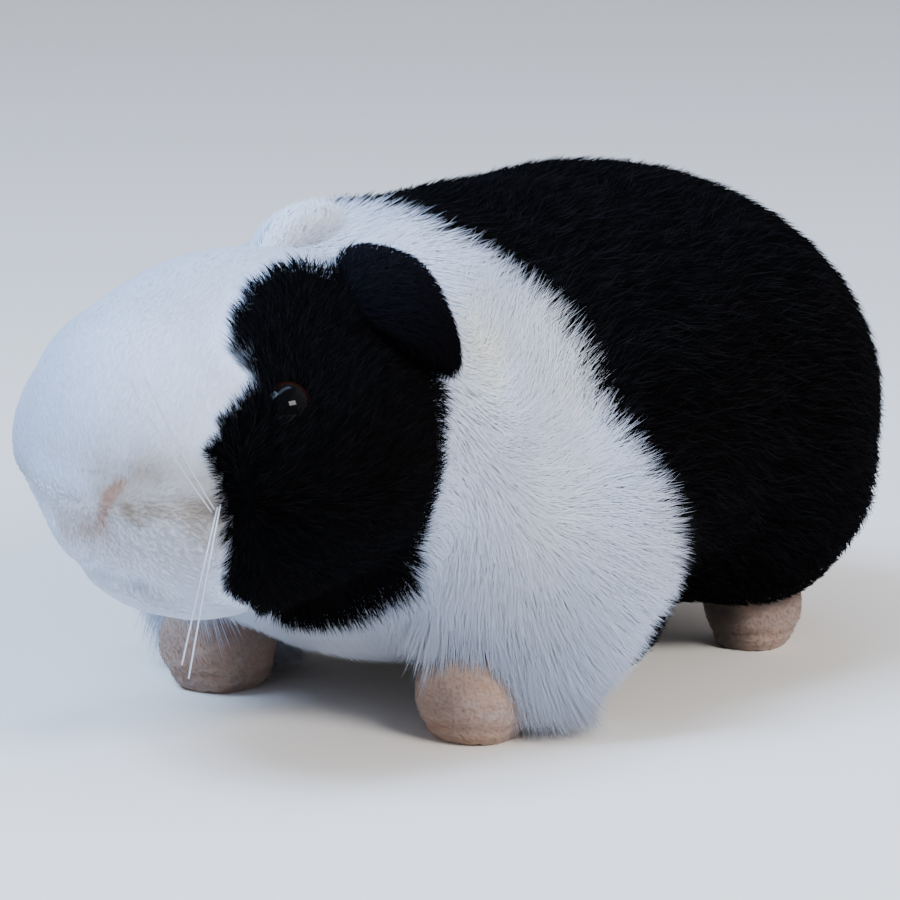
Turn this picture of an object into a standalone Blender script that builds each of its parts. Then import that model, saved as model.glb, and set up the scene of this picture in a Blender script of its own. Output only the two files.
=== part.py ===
"""A stuffed plush guinea pig, standing on four velour paws.

Metres, +Z up. The toy faces -Y and its left side is +X. The origin is the
middle of its footprint, on the floor. Every solid reaches out to the tips of
the pile, so the head, the shoulders and the rump are the plush with its coat
on. They part at the seams of the toy's panels, and the legs, ears and eyes sit
in sockets of the plush around them.
"""
import math

import bmesh
import bpy
from mathutils import Matrix, Vector

MM = 0.001
GAP = 0.3 * MM                  # clear space between two solids that touch

# Each lobe is an egg of stuffing: centre (x, y, z) and half-size (x, y, z), in
# millimetres. A lobe off the middle is made twice, once for each side.
TRUNK_LOBES = {
    "barrel": ((0, 36, 67), (76, 86, 55.5)),
    "rump": ((0, 72, 64), (78, 66, 59)),
    "chest": ((0, -18, 60), (63, 47, 50)),
    "withers": ((0, -16, 81), (48, 47, 44)),
    "elbow": ((48, -5, 41), (33, 32, 39)),
    "thigh": ((44, 81, 48), (30, 37, 40)),
}
HEAD_LOBES = {
    "cranium": ((0, -71, 82), (43, 52, 38)),
    "brow": ((0, -98, 87), (35, 33, 28)),
    "muzzle": ((0, -99, 69), (35, 29, 28)),
    "cheek": ((24, -76, 75), (28, 40, 29)),
    "chin": ((0, -90, 56), (31, 30, 22)),
}
HEAD_TURN = math.radians(5)     # the head looks a little to the toy's left
HEAD_PIVOT = (0, -30, 75)

BODY_VOXEL = 5 * MM
BODY_SMOOTHING = 10
BODY_TRIANGLES = 4160
LOBE_RINGS = 24

# Seams where the panels part: a point of the seam's plane and its normal.
NECK_SEAM = ((0, -50, 80), (0, 1, 0))
BACK_SEAM = ((0, -6, 80), (0, 1, 0.3))

# Legs: soft velour stubs, boxier than an egg, with a flat sole.
LEG_HALF = (13.5, 14, 14)
LEG_BOXINESS = 2.7
LEG_CENTRE_HEIGHT = 12
LEG_TOE_OUT = math.radians(8)
FRONT_LEG = (40, -29)
HIND_LEG = (40.5, 85.5)
LEG_RINGS = 9

# Ears: one flap each, cupped across its width and drooping to its tip.
EAR_HALF = (17.6, 21.5, 3)
EAR_BOXINESS = 2.35
EAR_CUP = 1
EAR_DROOP = 6.5
EAR_RINGS = 10
# Each ear's middle, the way it runs out from its root and the way its outer face looks.
# The right ear's are mirrored; it stands up while the left one lies down and back.
LEFT_EAR = ((33.0, -51.0, 107.3), (0.40, 0.80, -1.2), (0.725, 0, 1.36))
RIGHT_EAR = ((18.2, -37.6, 107.4), (-0.86, 0.45, -0.24), (0.83, -0.21, 0.51))

# Eyes: a round plastic dome on each side of the face.
EYE_HALF = (6.3, 6.3, 5.0)
EYE_RINGS = 10
# Each eye's middle and the way it looks; the right one's are mirrored and sit further back.
LEFT_EYE = ((33.1, -101.4, 89.8), (0.70, -0.58, 0.42))
RIGHT_EYE = ((42.3, -89.3, 86.0), (0.85, -0.27, 0.47))

WHITE_PLUSH = (0.80, 0.82, 0.88)
BLACK_PLUSH = (0.010, 0.010, 0.013)
PEACH_VELOUR = (0.62, 0.42, 0.33)
EYE_PLASTIC = (0.006, 0.004, 0.003)


def clear_scene():
    for thing in list(bpy.data.objects):
        bpy.data.objects.remove(thing, do_unlink=True)


def make_collection(name):
    group = bpy.data.collections.new(name)
    bpy.context.scene.collection.children.link(group)
    return group


def make_material(name, colour, roughness):
    finish = bpy.data.materials.new(name)
    finish.use_nodes = True
    shader = finish.node_tree.nodes["Principled BSDF"]
    shader.inputs["Base Color"].default_value = (*colour, 1.0)
    shader.inputs["Roughness"].default_value = roughness
    shader.inputs["Metallic"].default_value = 0.0
    return finish


def metres(triple):
    return Vector(triple) * MM


def mirrored(triple):
    return (-triple[0], triple[1], triple[2])


def add_object(name, form, group):
    mesh = bpy.data.meshes.new(name)
    form.to_mesh(mesh)
    form.free()
    thing = bpy.data.objects.new(name, mesh)
    group.objects.link(thing)
    return thing


def egg(half, rings, boxiness=2.0):
    """A closed egg about the origin; above 2, boxiness squares it off."""
    form = bmesh.new()
    bmesh.ops.create_uvsphere(form, u_segments=2 * rings, v_segments=rings, radius=1.0)
    for vert in form.verts:
        reach = sum(abs(part) ** boxiness for part in vert.co) ** (1.0 / boxiness)
        vert.co = vert.co / reach * MM
        vert.co.x *= half[0]
        vert.co.y *= half[1]
        vert.co.z *= half[2]
    return form


def append_form(form, piece):
    """Moves the faces of one bmesh into another."""
    mesh = bpy.data.meshes.new("piece")
    piece.to_mesh(mesh)
    piece.free()
    form.from_mesh(mesh)
    bpy.data.meshes.remove(mesh)


def lobe_cluster(lobes):
    form = bmesh.new()
    for centre, half in lobes.values():
        places = [centre, mirrored(centre)] if centre[0] else [centre]
        for place in places:
            lobe = egg(half, LOBE_RINGS)
            bmesh.ops.translate(lobe, vec=metres(place), verts=lobe.verts)
            append_form(form, lobe)
    return form


def turned_about(pivot, angle):
    return Matrix.Translation(pivot) @ Matrix.Rotation(angle, 4, "Z") @ Matrix.Translation(-pivot)


def frame_of(along, face):
    """A rotation whose X runs along the piece and whose Z is its face."""
    z_axis = Vector(face).normalized()
    x_axis = (Vector(along) - z_axis * Vector(along).dot(z_axis)).normalized()
    return Matrix((x_axis, z_axis.cross(x_axis), z_axis)).transposed().to_4x4()


def evaluated_mesh(thing):
    graph = bpy.context.evaluated_depsgraph_get()
    return bpy.data.meshes.new_from_object(thing.evaluated_get(graph))


def bake_modifiers(thing):
    thing.data = evaluated_mesh(thing)
    thing.modifiers.clear()


def whole_body(group):
    """The trunk and the head as one smooth stuffed form."""
    form = lobe_cluster(TRUNK_LOBES)
    head = lobe_cluster(HEAD_LOBES)
    bmesh.ops.transform(head, matrix=turned_about(metres(HEAD_PIVOT), HEAD_TURN), verts=head.verts)
    append_form(form, head)
    body = add_object("body_form", form, group)
    blend = body.modifiers.new("blend", "REMESH")
    blend.mode = "VOXEL"
    blend.voxel_size = BODY_VOXEL
    soften = body.modifiers.new("soften", "SMOOTH")
    soften.iterations = BODY_SMOOTHING
    bake_modifiers(body)
    body.data.calc_loop_triangles()
    thin = body.modifiers.new("thin", "DECIMATE")
    thin.ratio = min(1.0, BODY_TRIANGLES / len(body.data.loop_triangles))
    bake_modifiers(body)
    return body


def panel(name, body, group, seams):
    """One panel of the body: what is left after cutting at each seam.

    Each seam is a plane and the side to keep, +1 along its normal or -1.
    """
    form = bmesh.new()
    form.from_mesh(body.data)
    for (point, normal), side in seams:
        away = Vector(normal).normalized() * -side
        cut = bmesh.ops.bisect_plane(
            form, geom=form.verts[:] + form.edges[:] + form.faces[:],
            plane_co=metres(point) - away * GAP / 2, plane_no=away, clear_outer=True)
        rim = [item for item in cut["geom_cut"] if isinstance(item, bmesh.types.BMEdge)]
        bmesh.ops.edgeloop_fill(form, edges=rim)
    bmesh.ops.recalc_face_normals(form, faces=form.faces)
    return add_object(name, form, group)


def leg(name, place, side, group, grow=0.0):
    half = [size + grow / MM for size in LEG_HALF]
    form = egg(half, LEG_RINGS, LEG_BOXINESS)
    turn = Matrix.Rotation(side * LEG_TOE_OUT, 4, "Z")
    centre = metres((side * place[0], place[1], LEG_CENTRE_HEIGHT))
    bmesh.ops.transform(form, matrix=Matrix.Translation(centre) @ turn, verts=form.verts)
    if not grow:
        cut = bmesh.ops.bisect_plane(
            form, geom=form.verts[:] + form.edges[:] + form.faces[:],
            plane_co=(0, 0, 0), plane_no=(0, 0, -1), clear_outer=True)
        rim = [item for item in cut["geom_cut"] if isinstance(item, bmesh.types.BMEdge)]
        bmesh.ops.edgeloop_fill(form, edges=rim)
        bmesh.ops.recalc_face_normals(form, faces=form.faces)
    return add_object(name, form, group)


def ear(name, side, group, grow=0.0):
    half = [size + grow / MM for size in EAR_HALF]
    form = egg(half, EAR_RINGS, EAR_BOXINESS)
    for vert in form.verts:
        along = vert.co.x / (EAR_HALF[0] * MM)
        across = vert.co.y / (EAR_HALF[1] * MM)
        vert.co.z -= MM * (EAR_CUP * across ** 2 + EAR_DROOP * max(along, 0.0) ** 2)
    centre, out, face = LEFT_EAR if side > 0 else RIGHT_EAR
    place = Matrix.Diagonal((side, 1, 1, 1)) @ Matrix.Translation(metres(centre)) @ frame_of(out, face)
    place = turned_about(metres(HEAD_PIVOT), HEAD_TURN) @ place
    bmesh.ops.transform(form, matrix=place, verts=form.verts)
    bmesh.ops.recalc_face_normals(form, faces=form.faces)
    return add_object(name, form, group)


def eye(name, side, group, grow=0.0):
    half = [size + grow / MM for size in EYE_HALF]
    form = egg(half, EYE_RINGS)
    centre, face = LEFT_EYE if side > 0 else RIGHT_EYE
    place = Matrix.Diagonal((side, 1, 1, 1)) @ Matrix.Translation(metres(centre)) @ frame_of((0, 0, 1), face)
    place = turned_about(metres(HEAD_PIVOT), HEAD_TURN) @ place
    bmesh.ops.transform(form, matrix=place, verts=form.verts)
    bmesh.ops.recalc_face_normals(form, faces=form.faces)
    return add_object(name, form, group)


def cut_socket(host, cutter):
    socket = host.modifiers.new("socket_" + cutter.name, "BOOLEAN")
    socket.operation = "DIFFERENCE"
    socket.solver = "EXACT"
    socket.object = cutter
    cutter.hide_render = True
    cutter.display_type = "WIRE"


def centre_over_origin(solids, others):
    """Moves every mesh so the toy's footprint is centred and its soles are at zero."""
    corners = [vert.co for thing in solids for vert in thing.data.vertices]
    low = Vector([min(corner[axis] for corner in corners) for axis in range(3)])
    high = Vector([max(corner[axis] for corner in corners) for axis in range(3)])
    middle = (low + high) / 2
    move = Matrix.Translation(Vector((-middle.x, -middle.y, -low.z)))
    for thing in [*solids, *others]:
        thing.data.transform(move)


def finish_solid(thing, finish):
    thing.data.materials.clear()
    thing.data.materials.append(finish)
    thing.data.shade_smooth()


def main():
    clear_scene()
    toy = make_collection("guinea_pig")
    cutters = make_collection("cutters")
    white = make_material("white_plush", WHITE_PLUSH, 0.9)
    black = make_material("black_plush", BLACK_PLUSH, 0.85)
    peach = make_material("peach_velour", PEACH_VELOUR, 0.95)
    plastic = make_material("eye_plastic", EYE_PLASTIC, 0.08)

    body = whole_body(cutters)
    head = panel("head", body, toy, [(NECK_SEAM, -1)])
    shoulders = panel("shoulders", body, toy, [(NECK_SEAM, 1), (BACK_SEAM, -1)])
    rump = panel("rump", body, toy, [(BACK_SEAM, 1)])
    bpy.data.objects.remove(body, do_unlink=True)
    for solid, colour in ((head, white), (shoulders, white), (rump, black)):
        finish_solid(solid, colour)

    for side, word in ((1, "left"), (-1, "right")):
        for kind, place, host in (("front", FRONT_LEG, shoulders), ("hind", HIND_LEG, rump)):
            name = f"{kind}_leg_{word}"
            finish_solid(leg(name, place, side, toy), peach)
            cut_socket(host, leg("socket_" + name, place, side, cutters, grow=GAP))
        finish_solid(ear("ear_" + word, side, toy), black if side > 0 else white)
        for host in (head, shoulders):
            cut_socket(host, ear(f"socket_ear_{word}_{host.name}", side, cutters, grow=GAP))
        finish_solid(eye("eye_" + word, side, toy), plastic)
        cut_socket(head, eye("socket_eye_" + word, side, cutters, grow=GAP))
    centre_over_origin(toy.objects, cutters.objects)


main()
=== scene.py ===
"""A stuffed plush guinea pig toy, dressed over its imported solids.

Metres, +Z up. The toy faces -Y and its left side is +X. One skin of plush cloth
replaces the head, shoulders and rump, and lies inside them by the depth of the
pile. The pile, the ears, the paws, the eyes and the whiskers stand on it.
"""

import logging
import math
from dataclasses import dataclass, field, replace
from enum import Enum
from typing import Callable, ClassVar, Iterable, Sequence

import bmesh
import bpy
import numpy as np
from mathutils import Matrix, Vector
from mathutils.bvhtree import BVHTree
from mathutils.kdtree import KDTree


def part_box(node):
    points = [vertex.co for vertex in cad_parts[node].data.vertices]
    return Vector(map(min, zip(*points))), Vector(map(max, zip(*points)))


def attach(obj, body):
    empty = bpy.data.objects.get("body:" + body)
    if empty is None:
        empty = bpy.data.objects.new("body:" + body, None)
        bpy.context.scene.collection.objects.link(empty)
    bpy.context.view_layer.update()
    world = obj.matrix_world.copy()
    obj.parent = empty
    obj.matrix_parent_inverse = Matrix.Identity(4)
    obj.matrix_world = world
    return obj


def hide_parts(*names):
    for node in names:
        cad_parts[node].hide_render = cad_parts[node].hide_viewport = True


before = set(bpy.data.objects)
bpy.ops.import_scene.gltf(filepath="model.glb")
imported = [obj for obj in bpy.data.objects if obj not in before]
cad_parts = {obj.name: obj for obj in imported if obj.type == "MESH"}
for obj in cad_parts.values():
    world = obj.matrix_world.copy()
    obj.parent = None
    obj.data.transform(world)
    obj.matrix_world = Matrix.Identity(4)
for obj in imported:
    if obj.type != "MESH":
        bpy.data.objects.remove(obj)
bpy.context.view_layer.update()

LOG = logging.getLogger("plush_guinea_pig")
MM = 0.001
WELD = 1e-6                # vertices this near each other are one, in metres
SHORTEST = 1e-9            # no vector counts as shorter than this
WAVE_SPREAD = (0.6, 1.6)   # how much the waves of one noise differ in length
BODY = "root"
FLESH = ("head", "shoulders", "rump")
BAKE_MAP = "OFBake"
MIX_INPUTS = (0, 6, 7)     # a Mix node's share and its two colours
MIX_OUTPUT = 2             # and the colour that leaves it
CLOTH_SHADE = 0.5          # bare cloth is as light as the middle one of its tufts
BODY_TUFTS = 220_000
EAR_TUFTS = 8_000
PAW_TUFTS = 2_600
# Each seed starts a row of random numbers of its own.
BODY_SEED = 5
EDGE_SEED = 11
LIE_SEEDS = (21, 22, 23)
LUMP_SEED = 31
EAR_SEED = 40
PAW_SEED = 60
Array = np.ndarray
Amount = float | np.ndarray
Colour = tuple[float, float, float]


class Side(Enum):
    """The toy's own sides, with the sign of their X."""

    LEFT = 1
    RIGHT = -1

    @property
    def word(self) -> str:
        """The side's name as the solids spell it."""
        return self.name.lower()


class Mark(Enum):
    """The colour markings, each kept as an attribute of skin and pile."""

    BLACK = "black"
    CREAM = "cream"
    # a grey tint: partly airbrushed stain, partly painted shade on the face
    HAZE = "haze"
    RUST = "rust"
    SOOT = "soot"


# ---------------------------------------------------------------- small tools


def smooth(low: float, high: float, value: Array) -> Array:
    """Eases from 0 at low to 1 at high.

    Args:
        low: where the ramp starts.
        high: where it ends; it may be below low for a falling ramp.
        value: the values to ease.

    Returns:
        The eased values, from 0 to 1.
    """
    step = np.clip((value - low) / (high - low), 0.0, 1.0)
    return step * step * (3.0 - 2.0 * step)


def unit(vectors: Array) -> Array:
    """Scales each row to length 1."""
    return vectors / np.maximum(np.linalg.norm(vectors, axis=-1, keepdims=True), SHORTEST)


def mix(low: Array, high: Array, share: Array) -> Array:
    """Blends two values by a share from 0 to 1."""
    return low + (high - low) * share


def laid(way: Array, normals: Array) -> Array:
    """Lays each way flat in the cloth's own plane, as a unit vector."""
    return unit(way - normals * (way * normals).sum(axis=1, keepdims=True))


def gap_to(points: Array, start: Sequence[float], end: Sequence[float]) -> Array:
    """How far each point is from a straight stroke.

    Args:
        points: places in metres.
        start: one end of the stroke, in millimetres.
        end: its other end.

    Returns:
        Distances in metres.
    """
    first = np.array(start) * MM
    span = np.array(end) * MM - first
    along = np.clip((points - first) @ span / (span @ span), 0.0, 1.0)
    return np.linalg.norm(points - first - along[:, None] * span, axis=1)


def swell(gap: Array, width: float) -> Array:
    """1 at no gap, fading like a bell over a width; both are in metres."""
    return np.exp(-((gap / width) ** 2))


def waves(points: Array, size: float, seed: int, count: int = 7) -> Array:
    """Smooth noise as a sum of plane waves.

    Args:
        points: places in metres, one per row.
        size: the typical width of a bump, in metres.
        seed: picks the waves.
        count: how many waves are summed.

    Returns:
        One value per point, mostly from -1 to 1.
    """
    dice = np.random.default_rng(seed)
    ways = unit(dice.normal(size=(count, 3))) * dice.uniform(*WAVE_SPREAD, (count, 1))
    phases = dice.uniform(0.0, math.tau, count)
    return np.sin(points @ ways.T * (math.pi / size) + phases).sum(axis=1) / math.sqrt(count)


def merged_copy(node: str) -> bmesh.types.BMesh:
    """Copies a solid's mesh and joins its loose triangles.

    Args:
        node: the solid.

    Returns:
        The copy.
    """
    form = bmesh.new()
    form.from_mesh(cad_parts[node].data)
    bmesh.ops.remove_doubles(form, verts=form.verts, dist=WELD)
    return form


def middle_of(node: str) -> Vector:
    """The middle of a solid's box."""
    low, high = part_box(node)
    return (Vector(low) + Vector(high)) / 2


def make_piece(name: str, form: bmesh.types.BMesh, finish: bpy.types.Material) -> bpy.types.Object:
    """Turns a bmesh into a shown piece that rides on the toy.

    Args:
        name: the piece's name.
        form: its shape, which is freed.
        finish: its material.

    Returns:
        The new object.
    """
    mesh = bpy.data.meshes.new(name)
    form.to_mesh(mesh)
    form.free()
    return place_mesh(name, mesh, finish)


def place_mesh(name: str, mesh: bpy.types.Mesh, finish: bpy.types.Material) -> bpy.types.Object:
    """Links a mesh as a smooth piece that rides on the toy.

    Args:
        name: the piece's name.
        mesh: its mesh, in the toy's frame.
        finish: its material.

    Returns:
        The new object.
    """
    mesh.shade_smooth()
    mesh.materials.append(finish)
    piece = bpy.data.objects.new(name, mesh)
    bpy.context.scene.collection.objects.link(piece)
    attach(piece, BODY)
    return piece


def bake_modifiers(piece: bpy.types.Object) -> None:
    """Applies a piece's modifiers to its mesh.

    Args:
        piece: the piece, which gets a new mesh.
    """
    graph = bpy.context.evaluated_depsgraph_get()
    piece.data = bpy.data.meshes.new_from_object(piece.evaluated_get(graph))
    piece.modifiers.clear()


def triples(items: bpy.types.bpy_prop_collection, key: str) -> Array:
    """Reads a vector from each item of a mesh.

    Args:
        items: its vertices or their normals.
        key: the vector's name.

    Returns:
        One vector per row.
    """
    flat = np.empty(len(items) * 3)
    items.foreach_get(key, flat)
    return flat.reshape(-1, 3)


def points_of(mesh: bpy.types.Mesh) -> Array:
    """A mesh's vertex places, one per row."""
    return triples(mesh.vertices, "co")


def normals_of(mesh: bpy.types.Mesh) -> Array:
    """A mesh's vertex normals, one per row."""
    return triples(mesh.vertex_normals, "vector")


def write_values(mesh: bpy.types.Mesh, name: str, values: Array) -> None:
    """Keeps one number per vertex as an attribute."""
    layer = mesh.attributes.new(name, "FLOAT", "POINT")
    layer.data.foreach_set("value", np.ascontiguousarray(values, dtype=np.float32))


def write_pile(mesh: bpy.types.Mesh, shares: dict[Mark, Array], rise: float) -> None:
    """Gives cloth what the plush finish reads.

    Args:
        mesh: the cloth.
        shares: the markings at each vertex.
        rise: the cloth's own place between the pile's roots and tips.
    """
    for mark, share in shares.items():
        write_values(mesh, mark.value, share)
    for name, value in (("rise", rise), ("shade", CLOTH_SHADE)):
        write_values(mesh, name, np.full(len(mesh.vertices), value))


def plain_marks(count: int, black: bool) -> dict[Mark, Array]:
    """The markings of cloth that is all black or all white."""
    return {mark: np.full(count, float(black and mark is Mark.BLACK)) for mark in Mark}


def move_points(mesh: bpy.types.Mesh, places: Array) -> None:
    """Puts a mesh's vertices at new places."""
    mesh.vertices.foreach_set("co", places.ravel())
    mesh.update()


def rounded_copy(node: str, suffix: str, levels: int, finish: bpy.types.Material) -> bpy.types.Object:
    """Makes a rounded piece in a solid's shape.

    Args:
        node: the solid.
        suffix: what the piece's name adds to the solid's.
        levels: how many times it is subdivided.
        finish: its material.

    Returns:
        The new object.
    """
    piece = make_piece(node + suffix, merged_copy(node), finish)
    rounder = piece.modifiers.new("rounder", "SUBSURF")
    rounder.levels = rounder.render_levels = levels
    bake_modifiers(piece)
    return piece


def frame_of(along: Vector, face: Vector) -> Matrix:
    """A rotation for a piece with a face.

    Args:
        along: where its X leans.
        face: where its Z points.

    Returns:
        The rotation.
    """
    z_axis = face.normalized()
    x_axis = (along - z_axis * along.dot(z_axis)).normalized()
    return Matrix((x_axis, z_axis.cross(x_axis), z_axis)).transposed().to_4x4()


# ------------------------------------------------------------------ materials


class Wire:
    """A shader socket that adds Math nodes when it meets an operator."""

    def __init__(self, recipe: "Recipe", socket: bpy.types.NodeSocket) -> None:
        """Wraps one output socket of a recipe."""
        self.recipe = recipe
        self.socket = socket

    def _maths(self, operation: str, *values: object) -> "Wire":
        """Adds one Math node over the given values."""
        links = dict(enumerate(values))
        return self.recipe.node("ShaderNodeMath", {"operation": operation}, links)

    def __add__(self, other: object) -> "Wire":
        """self + other."""
        return self._maths("ADD", self, other)

    def __radd__(self, other: object) -> "Wire":
        """other + self."""
        return self._maths("ADD", other, self)

    def __sub__(self, other: object) -> "Wire":
        """self - other."""
        return self._maths("SUBTRACT", self, other)

    def __rsub__(self, other: object) -> "Wire":
        """other - self."""
        return self._maths("SUBTRACT", other, self)

    def __mul__(self, other: object) -> "Wire":
        """self * other."""
        return self._maths("MULTIPLY", self, other)

    def __rmul__(self, other: object) -> "Wire":
        """other * self."""
        return self._maths("MULTIPLY", other, self)

    def __pow__(self, other: object) -> "Wire":
        """self ** other."""
        return self._maths("POWER", self, other)

    def clamped(self) -> "Wire":
        """Holds the value between 0 and 1."""
        return self.recipe.node("ShaderNodeClamp", {}, {"Value": self})

    def ramp(self, low: float, high: float) -> "Wire":
        """Rises straight from 0 at low to 1 at high."""
        return ((self - low) * (1.0 / (high - low))).clamped()


class Recipe:
    """One material's nodes, built from its Principled shader outwards."""

    def __init__(self, name: str) -> None:
        """Starts a material with a plain Principled shader.

        Args:
            name: the material's name.
        """
        self.material = bpy.data.materials.new(name)
        self.material.use_nodes = True
        self.tree = self.material.node_tree
        self.shader = self.tree.nodes["Principled BSDF"]

    def node(self, kind: str, settings: dict, sockets: dict, out: object = 0) -> Wire:
        """Adds any node.

        Args:
            kind: the node's type.
            settings: its own settings, set first.
            sockets: its input sockets, by name or number, to values or wires.
            out: the output wanted.

        Returns:
            The wire that leaves it.
        """
        node = self.tree.nodes.new(kind)
        for key, value in settings.items():
            setattr(node, key, value)
        for key, value in sockets.items():
            self.feed(node.inputs[key], value)
        return Wire(self, node.outputs[out])

    def feed(self, socket: bpy.types.NodeSocket, value: object) -> None:
        """Links a wire into a socket, or sets its value.

        Args:
            socket: the input socket.
            value: a wire, a colour or a plain value.
        """
        if isinstance(value, Wire):
            self.tree.links.new(value.socket, socket)
        elif isinstance(value, tuple) and len(value) == 3 and socket.type == "RGBA":
            socket.default_value = (*value, 1.0)
        else:
            socket.default_value = value

    def attribute(self, name: str) -> Wire:
        """Reads a number that the mesh carries."""
        return self.node("ShaderNodeAttribute", {"attribute_name": name}, {}, "Fac")

    def place(self) -> Wire:
        """The point being shaded, in the toy's frame."""
        return self.node("ShaderNodeTexCoord", {}, {}, "Object")

    def noise(self, scale: float, detail: float = 2.0, rough: float = 0.5, upright: float = 1.0) -> Wire:
        """Smooth noise over the toy's frame.

        Args:
            scale: how fine it is.
            detail: how many finer layers it has.
            rough: how much those count.
            upright: how much finer it is upwards.

        Returns:
            The noise, about a half.
        """
        place = self.node("ShaderNodeMapping", {}, {"Vector": self.place(), "Scale": (1.0, 1.0, upright)})
        sockets = {"Vector": place, "Scale": scale, "Detail": detail, "Roughness": rough}
        return self.node("ShaderNodeTexNoise", {}, sockets, "Fac")

    def blend(self, share: object, low: object, high: object, way: str = "MIX") -> Wire:
        """Mixes two colours by a share from 0 to 1."""
        settings = {"data_type": "RGBA", "blend_type": way}
        return self.node("ShaderNodeMix", settings, dict(zip(MIX_INPUTS, (share, low, high))), MIX_OUTPUT)

    def shaded(self, colour: object, light: Wire) -> Wire:
        """Darkens a colour by a light from 0 to 1."""
        grey = self.node("ShaderNodeCombineColor", {}, {0: light, 1: light, 2: light})
        return self.blend(1.0, colour, grey, "MULTIPLY")

    def bump(self, height: Wire, depth: float, strength: float = 1.0) -> None:
        """Feeds a height into the shader's normal."""
        sockets = {"Height": height, "Distance": depth, "Strength": strength}
        self.feed(self.shader.inputs["Normal"], self.node("ShaderNodeBump", {}, sockets))

    def set(self, **values: object) -> None:
        """Sets the shader's own sockets; an underscore stands for a space."""
        for key, value in values.items():
            self.feed(self.shader.inputs[key.replace("_", " ")], value)


@dataclass(frozen=True)
class PlushFinish:
    """Soft pile, coloured by the markings that skin and tufts both carry, with painted shade towards the
    roots and painted sheen on some black tips.
    """

    name: str
    white: Colour = (0.635, 0.70, 0.85)
    black: Colour = (0.0010, 0.0010, 0.0012)
    # the lighter tips of some black tufts: partly their own tone, partly painted sheen
    black_tip: Colour = (0.0120, 0.0115, 0.0145)
    cream: Colour = (0.72, 0.72, 0.66)
    # grey: partly stain, partly painted shade on the face
    haze: Colour = (0.425, 0.405, 0.395)
    rust: Colour = (0.36, 0.23, 0.18)
    soot: Colour = (0.26, 0.21, 0.15)
    root_shade: float = 0.96       # painted shade: how light the roots, deep in the pile, are against the tips
    shade_range: float = 0.05      # how much single tufts differ
    patch_scale: float = 90.0      # of the noise that breaks up the stains
    patch_range: float = 0.9
    patch_floor: float = 0.55
    black_contrast: float = 3.0    # how much more the tufts differ on the black

    def make(self) -> bpy.types.Material:
        """Builds the material.

        Returns:
            The finished material.
        """
        recipe = Recipe(self.name)
        rise = recipe.attribute("rise")
        shade = recipe.attribute("shade")
        patchy = recipe.noise(self.patch_scale) * self.patch_range + self.patch_floor
        pale = recipe.blend(recipe.attribute(Mark.CREAM.value), self.white, self.cream)
        # The grey tint is partly stain and partly painted shade; rust and soot are stains.
        for mark, tint in ((Mark.HAZE, self.haze), (Mark.RUST, self.rust), (Mark.SOOT, self.soot)):
            pale = recipe.blend((recipe.attribute(mark.value) * patchy).clamped(), pale, tint)
        # Black pile: darkest at the roots and lighter, a little bluish, towards some tips: partly painted
        # sheen and shade.
        dark = recipe.blend(rise * shade ** self.black_contrast, self.black, self.black_tip)
        colour = recipe.blend(recipe.attribute(Mark.BLACK.value), pale, dark)
        # Painted shade: the pile darkens towards its roots, where the tufts shade each other.
        depth = rise * (1.0 - self.root_shade) + self.root_shade
        light = (depth * (shade * self.shade_range + (1.0 - self.shade_range))).clamped()
        recipe.set(Base_Color=recipe.shaded(colour, light), Roughness=0.9, Specular_IOR_Level=0.02)
        return recipe.material


@dataclass(frozen=True)
class VelourFinish:
    """Short mottled velour for the paws."""

    name: str = "peach_velour"
    peach: Colour = (0.33, 0.238, 0.202)
    rust: Colour = (0.375, 0.242, 0.18)
    fuzz: Colour = (0.42, 0.35, 0.32)
    seam: Colour = (0.29, 0.185, 0.145)
    # near black: painted shadow under the overhanging pile, with some dust from the dark pile
    dusk: Colour = (0.030, 0.026, 0.024)
    # Noise: scale, detail, roughness and how far it is flattened.
    blotches: tuple = (70.0, 4.0, 0.6, 2.6)
    flecks: tuple = (200.0, 3.0, 0.6, 3.2)
    nap: tuple = (1100.0, 3.0)
    blotch_contrast: float = 3.4
    blotch_offset: float = 0.4
    fleck_contrast: float = 4.0
    # The most that each tint covers.
    rust_share: float = 0.9
    fuzz_share: float = 0.5
    dusk_share: float = 0.9
    nap_depth: float = 0.25 * MM

    def make(self) -> bpy.types.Material:
        """Builds the material.

        Returns:
            The finished material.
        """
        recipe = Recipe(self.name)
        blotch = ((recipe.noise(*self.blotches) - 0.5) * self.blotch_contrast + self.blotch_offset).clamped()
        fleck = ((recipe.noise(*self.flecks) - 0.5) * self.fleck_contrast).clamped()
        colour = recipe.blend(blotch * self.rust_share, self.peach, self.rust)
        colour = recipe.blend(fleck * self.fuzz_share, colour, self.fuzz)
        colour = recipe.blend(recipe.attribute("seam"), colour, self.seam)
        # Painted shadow and dust, high and inward on the hind stubs.
        colour = recipe.blend(recipe.attribute("dusk") * self.dusk_share, colour, self.dusk)
        recipe.bump(recipe.noise(*self.nap), self.nap_depth, 0.5)
        recipe.set(Base_Color=colour, Roughness=0.95, Specular_IOR_Level=0.05, Sheen_Weight=0.12)
        return recipe.material


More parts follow.
